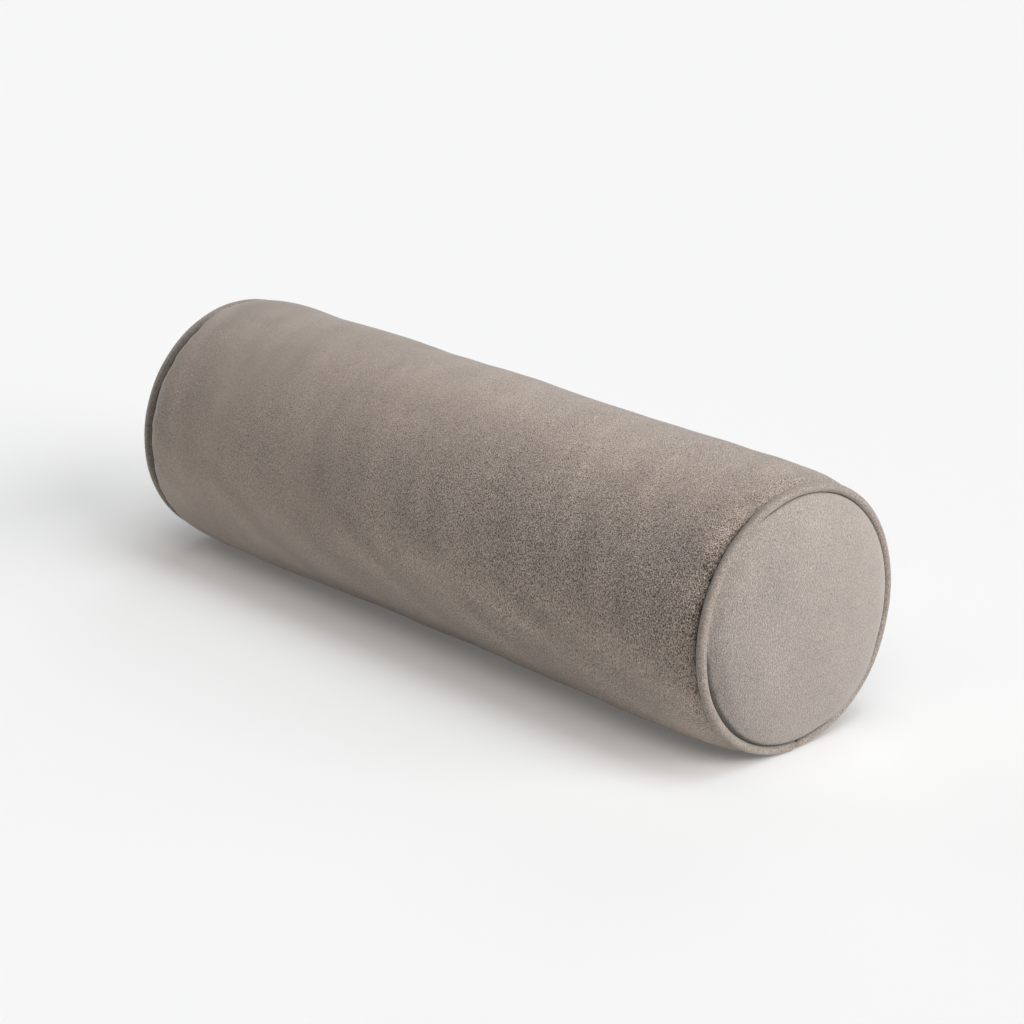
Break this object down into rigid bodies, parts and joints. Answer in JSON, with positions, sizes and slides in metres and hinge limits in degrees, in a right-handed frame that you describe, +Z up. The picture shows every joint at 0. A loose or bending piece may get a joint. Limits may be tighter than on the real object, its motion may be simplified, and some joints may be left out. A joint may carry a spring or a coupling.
{
  "type": "bolster",
  "caption": "Round bolster cushion: a filled suede-like cloth tube with a crowned round panel and a covered piping cord sewn in at each end.",
  "frame": {"origin": "on the resting plane, under the middle of the tube", "axes": "+X along the tube towards the near end panel, +Z up from the surface it rests on"},
  "size_m": [0.6222, 0.2014, 0.1961],
  "materials": {
    "tube_suede": "brushed nap",
    "panel_suede": "brushed nap",
    "piping_suede": "brushed nap"
  },
  "bodies": {
    "root": {"body": "tube_suede", "end_panel_near": "panel_suede", "end_panel_far": "panel_suede", "piping_near": "piping_suede", "piping_far": "piping_suede"}
  },
  "joints": []
}
